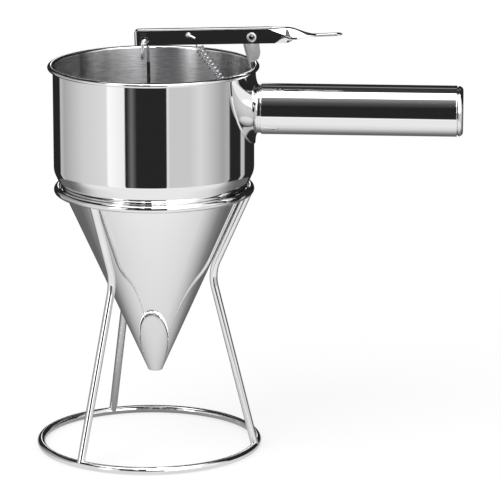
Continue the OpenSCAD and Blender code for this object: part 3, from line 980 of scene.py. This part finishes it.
def model_leg(number, turn):
    a = math.radians(turn)
    way = Vector((math.cos(a), math.sin(a), 0))
    top = way * RING_R + Vector((0, 0, SEAT_Z))
    waist = way * WAIST_R + Vector((WAIST_SHIFT, 0, WAIST_Z))
    foot = way * BASE_R + Vector((BASE_SHIFT, 0, WIRE_R))
    path = bent([top, waist, foot], WAIST_BEND, 20)
    first, last = path[0], path[-1]
    down, up = (path[1] - first).normalized(), (path[-2] - last).normalized()
    ends = [first + down * w for w in (0.6, 2.6, 3.4, 4.4)]
    feet = [last + up * w for w in (4.4, 3.4, 2.6, 0.6)]
    path = [p * MM for p in ends + path[1:-1] + feet]
    leg = wire("stand_leg_wire_%d" % number, path, WIRE_R, sides=10)
    finish_piece(leg, STAND, "stand", "stand_wire", "stand_leg_%d" % number)


model_cup()
model_cone()
model_socket()
model_collar()
model_tube()
model_end_cap()
model_bracket()
model_rivet()
model_lever()
model_pin()
model_spring()
model_rod()
model_plug()
model_ring("stand_top_ring_wire", RING_R, 0, SEAT_Z, "stand_top_ring")
model_ring("stand_base_ring_wire", BASE_R, BASE_SHIFT, WIRE_R, "stand_base_ring")
for number, turn in enumerate(LEG_TURNS, 1):
    model_leg(number, turn)


# ------------------------------------------------------- table and studio


# The table: its radius, where it fades out, its grey, and the share of even white in it
TABLE_R = 0.75
TABLE_FADE = (0.44, 0.50)
TABLE_GREY = 0.9
TABLE_WHITE = 0.7

# Brightness of the table in what shines, from its front (-) to its back, in metres: a painted glow,
# darker near the object's base as painted shade, and dark towards the back
TABLE = ((-0.42, 1.0), (-0.34, 0.87), (-0.14, 0.88), (-0.05, 0.74), (0.02, 0.42))
TABLE += ((0.07, 0.23), (0.14, 0.14), (0.3, 0.13))

# The low cards round the table. For each: the width of its soft edges in degrees, before and
# after it, and its corners as (degrees round from the camera, brightness). All else is cloth.
CLOTH = 0.02
CARDS = (
    ((1, 0), (-133, 0.55), (-122, 0.40), (-87, 0.65), (-54, 0.75)),
    ((0, 1), (-52, 1.05), (-32, 0.90)),
    ((5, 6), (-24, 0.16)),
    ((1, 0), (17, 0.95), (19, 0.62)),
    ((0, 2), (43, 0.62), (56, 0.73), (87, 0.38), (97, 0.45)),
    ((2, 2), (121, 0.55), (128, 0.50)),
)

# What hangs over the cards, above the horizon, by degrees round from the camera
HIGH = ((-180, 0.0), (-146, 0.0), (-140, 0.2), (-120, 0.35), (-88, 0.4), (-80, 0.7), (-51, 0.8))
HIGH += ((-49, 3.0), (-39, 3.0), (-37, 0.9), (-13, 1.4), (-9, 4.6), (12, 4.4), (20, 2.6))
HIGH += ((34, 1.8), (48, 1.4), (55, 1.35), (58, 0.95), (74, 1.0), (82, 0.6), (87, 0.55))
HIGH += ((89, 0.0), (180, 0.0))

# Brightness over the camera, from the horizon in front (0 degrees) to the one behind (180)
CEILING = ((0, 0.0), (22, 0.02), (40, 0.09), (60, 0.28), (63, 0.1), (102, 0.05), (130, 0.03))
CEILING += ((132, 0.25), (138, 0.25), (140, 0.03), (180, 0.0))

# Edges in the studio, each as the pair of places between which it goes from off to on, or for a
# band the pairs at its two sides. They are parts of a direction of length 1: x to the right of
# the camera, y away from it and z up.
HORIZON_Z = (0.0, 0.03)
SHADE_X = (-0.15, -0.25)
SHADE_Z = (0.45, 0.52)
GAP_X = ((-0.16, -0.15), (-0.03, -0.02))
FLAG_X = ((-0.50, -0.45), (0.27, 0.32))
FLAG_Z = (0.56, 0.50)
SHELF_X = ((-0.07, -0.06), (0.002, 0.008))
SHELF_Y = (0.0, 0.1)
SHELF_Z = ((0.178, 0.182), (0.29, 0.30))
CEILING_X = (0.5, 0.35)

# The shelf behind and the softbox over the table: brightness, and the softbox's depth in
# degrees over the camera and its width for its height
SHELF = 1.8
SOFTBOX = 2.2
SOFTBOX_DEPTH = ((61.5, 63.5), (97, 99))
SOFTBOX_W = 0.6
SOFTBOX_EDGE = 0.1

# The lamp that lights the table and the dull finishes
LAMP_PLACE = (-0.5, -0.6, 1.2)
LAMP_AIM = (0.02, 0, 0.12)
LAMP_SIZE = 0.8
LAMP_POWER = 6


class Nodes(Tree):
    """Short ways to lay out the tree of the table and of the studio."""

    def __init__(self, tree):
        super().__init__(tree)
        tree.nodes.clear()

    def math(self, kind, a, b=0.0):
        made = self.add("ShaderNodeMath", operation=kind)
        for socket, value in zip(made.inputs, (a, b)):
            if isinstance(value, (int, float)):
                socket.default_value = value
            else:
                self.link(value, socket)
        return made.outputs[0]

    def between(self, value, start, end, smooth=False):
        """0 below start, 1 above end."""
        made = self.add("ShaderNodeMapRange")
        if smooth:
            made.interpolation_type = "SMOOTHSTEP"
        made.inputs["From Min"].default_value = start
        made.inputs["From Max"].default_value = end
        self.link(value, made.inputs["Value"])
        return made.outputs["Result"]

    def band(self, value, start, end, smooth=False):
        """1 from the pair at its start to the pair at its end, 0 outside them."""
        rise = self.between(value, *start, smooth)
        fall = self.between(value, *end, smooth)
        return self.math("SUBTRACT", rise, fall)

    def all_of(self, first, *others):
        """The product of the values."""
        for other in others:
            first = self.math("MULTIPLY", first, other)
        return first

    def opposite(self, value):
        return self.math("SUBTRACT", 1.0, value)

    def grey(self, value, stops, low, high):
        """A brightness that follows the stops as the value goes from low to high."""
        made = self.add("ShaderNodeValToRGB")
        for i, (place, level) in enumerate(stops):
            spot = (place - low) / (high - low)
            elements = made.color_ramp.elements
            stop = elements[i] if i < 2 else elements.new(spot)
            stop.position = spot
            stop.color = (level, level, level, 1)
        self.link(self.between(value, low, high), made.inputs["Fac"])
        return made.outputs["Color"]

    def lightest(self, a, b):
        return self.blend(1.0, a, b, "LIGHTEN")

    def blend(self, share, a, b, kind="MIX"):
        made = self.add("ShaderNodeMix", data_type="RGBA", blend_type=kind)
        for socket, value in ((made.inputs[0], share), (made.inputs[6], a), (made.inputs[7], b)):
            if isinstance(value, (float, tuple)):
                socket.default_value = value
            else:
                self.link(value, socket)
        return made.outputs[2]

    def over(self, share, a, b):
        """Shader b over shader a."""
        made = self.add("ShaderNodeMixShader")
        if isinstance(share, float):
            made.inputs["Fac"].default_value = share
        else:
            self.link(share, made.inputs["Fac"])
        self.link(a, made.inputs[1])
        self.link(b, made.inputs[2])
        return made.outputs["Shader"]

    def from_camera(self, out):
        """A direction or place turned so that -Y faces the camera, as x, y, z."""
        turn = self.add("ShaderNodeMapping")
        turn.inputs["Rotation"].default_value = (0, 0, -CAMERA_TURN)
        self.link(out, turn.inputs["Vector"])
        parts = self.add("ShaderNodeSeparateXYZ")
        self.link(turn.outputs["Vector"], parts.inputs["Vector"])
        return parts.outputs


def tone(level):
    return (level, level, level, 1.0)


def card_stops():
    """The low cards' brightness all round, with cloth between them."""
    stops = [(-180, CLOTH)]
    for (before, after), *corners in CARDS:
        if before:
            stops.append((corners[0][0] - before, CLOTH))
        stops += corners
        if after:
            stops.append((corners[-1][0] + after, CLOTH))
    return stops + [(180, CLOTH)]


def lay_table():
    """The pale table: a disc that fades out at its edge, and keeps the object's shadow. What shines
    sees on it a painted glow instead, with painted shade near the object's base.
    """
    deselect()
    bpy.ops.mesh.primitive_circle_add(vertices=128, radius=TABLE_R, fill_type="NGON")
    table = bpy.context.object
    table.name = "table"
    material = bpy.data.materials.new("pale_table")
    material.use_nodes = True
    nodes = Nodes(material.node_tree)
    place = nodes.add("ShaderNodeTexCoord").outputs["Object"]
    far = nodes.add("ShaderNodeVectorMath", operation="LENGTH")
    nodes.link(place, far.inputs[0])
    fade = nodes.between(far.outputs["Value"], *TABLE_FADE, smooth=True)
    # What shines sees the table as a painted glow by TABLE, with painted shade near the object's
    # base
    level = nodes.grey(nodes.from_camera(place)["Y"], TABLE, -0.5, 0.5)
    seen = nodes.add("ShaderNodeEmission")
    nodes.link(level, seen.inputs["Color"])
    white = nodes.add("ShaderNodeEmission")
    cloth = nodes.add("ShaderNodeBsdfDiffuse")
    cloth.inputs["Color"].default_value = tone(TABLE_GREY)
    path = nodes.add("ShaderNodeLightPath")
    shaded = nodes.over(TABLE_WHITE, cloth.outputs["BSDF"], white.outputs["Emission"])
    plain = nodes.over(path.outputs["Is Camera Ray"], cloth.outputs["BSDF"], shaded)
    shown = nodes.over(path.outputs["Is Glossy Ray"], plain, seen.outputs["Emission"])
    clear = nodes.add("ShaderNodeBsdfTransparent")
    faded = nodes.over(fade, shown, clear.outputs["BSDF"])
    out = nodes.add("ShaderNodeOutputMaterial")
    nodes.link(faded, out.inputs["Surface"])
    table.data.materials.append(material)


def build_studio():
    """White for the camera, even light for the table, and a studio for what shines: dark cloth
    with low and high cards round the table, a shelf behind, a ceiling and a softbox over it."""
    world = bpy.data.worlds.new("studio")
    bpy.context.scene.world = world
    world.use_nodes = True
    nodes = Nodes(world.node_tree)
    x, y, z = nodes.from_camera(nodes.add("ShaderNodeTexCoord").outputs["Generated"])
    front = nodes.math("MULTIPLY", y, -1.0)
    degrees = 180 / math.pi
    round_it = nodes.math("MULTIPLY", nodes.math("ARCTAN2", x, front), degrees)
    over_it = nodes.math("MULTIPLY", nodes.math("ARCTAN2", z, front), degrees)
    aside = nodes.math("ABSOLUTE", x)

    # The high cards, dark on the upper left, and open where the handle and the rings look
    hung = nodes.grey(round_it, HIGH, -180, 180)
    shade = nodes.all_of(nodes.between(z, *SHADE_Z), nodes.between(x, *SHADE_X))
    hung = nodes.blend(shade, hung, tone(CLOTH))
    gap = nodes.opposite(nodes.band(x, *GAP_X))
    flag = nodes.all_of(nodes.band(x, *FLAG_X), nodes.between(z, *FLAG_Z))
    high = nodes.all_of(nodes.between(z, *HORIZON_Z), gap, nodes.opposite(flag))
    cards = nodes.blend(high, nodes.grey(round_it, card_stops(), -180, 180), hung)

    # The shelf behind, which the lever's top looks at
    shelf = nodes.all_of(
        nodes.band(z, *SHELF_Z), nodes.between(y, *SHELF_Y), nodes.band(x, *SHELF_X)
    )
    cards = nodes.blend(shelf, cards, tone(SHELF))

    # The ceiling and the softbox, over the camera
    ceiling = nodes.grey(over_it, CEILING, 0, 180)
    ceiling = nodes.blend(nodes.between(aside, *CEILING_X), tone(CLOTH), ceiling)
    depth = nodes.band(over_it, *SOFTBOX_DEPTH, smooth=True)
    width = nodes.between(nodes.math("DIVIDE", aside, z), SOFTBOX_W, SOFTBOX_W + SOFTBOX_EDGE)
    box = nodes.all_of(depth, nodes.opposite(width))
    lit = nodes.blend(box, nodes.lightest(cards, ceiling), tone(SOFTBOX))
    path = nodes.add("ShaderNodeLightPath")
    seen = nodes.blend(path.outputs["Is Glossy Ray"], tone(1.0), lit)
    light = nodes.add("ShaderNodeBackground")
    nodes.link(seen, light.inputs["Color"])
    out = nodes.add("ShaderNodeOutputWorld")
    nodes.link(light.outputs["Background"], out.inputs["Surface"])


def hang_lamp():
    deselect()
    bpy.ops.object.light_add(type="AREA", location=LAMP_PLACE)
    lamp = bpy.context.object
    lamp.name = "softbox_lamp"
    lamp.data.shape = "DISK"
    lamp.data.size = LAMP_SIZE
    lamp.data.energy = LAMP_POWER
    way = Vector(LAMP_AIM) - lamp.location
    lamp.rotation_euler = way.to_track_quat("-Z", "Y").to_euler()
    lamp.visible_glossy = False


def place_camera():
    """The photograph's view, from a little above the rim."""
    right = Vector((math.cos(CAMERA_TURN), math.sin(CAMERA_TURN), 0))
    ahead = Vector((-math.sin(CAMERA_TURN), math.cos(CAMERA_TURN), 0))
    back = -ahead * math.cos(CAMERA_RISE) + Vector((0, 0, math.sin(CAMERA_RISE)))
    data = bpy.data.cameras.new("camera")
    camera = bpy.data.objects.new("camera", data)
    bpy.context.scene.collection.objects.link(camera)
    bpy.context.scene.camera = camera
    camera.location = at(0, 0, CAMERA_AIM_Z) + right * CAMERA_ASIDE + back * CAMERA_BACK
    up = right.cross(-back)
    camera.matrix_world = Matrix.Translation(camera.location) @ Matrix(
        (right, up, back)
    ).transposed().to_4x4()
    data.sensor_width = 36
    data.lens = CAMERA_LENS
    data.shift_y = CAMERA_SHIFT_Y
    data.clip_start = 0.1
    data.clip_end = 20


lay_table()
build_studio()
hang_lamp()
place_camera()
bpy.context.scene.view_settings.view_transform = "Standard"
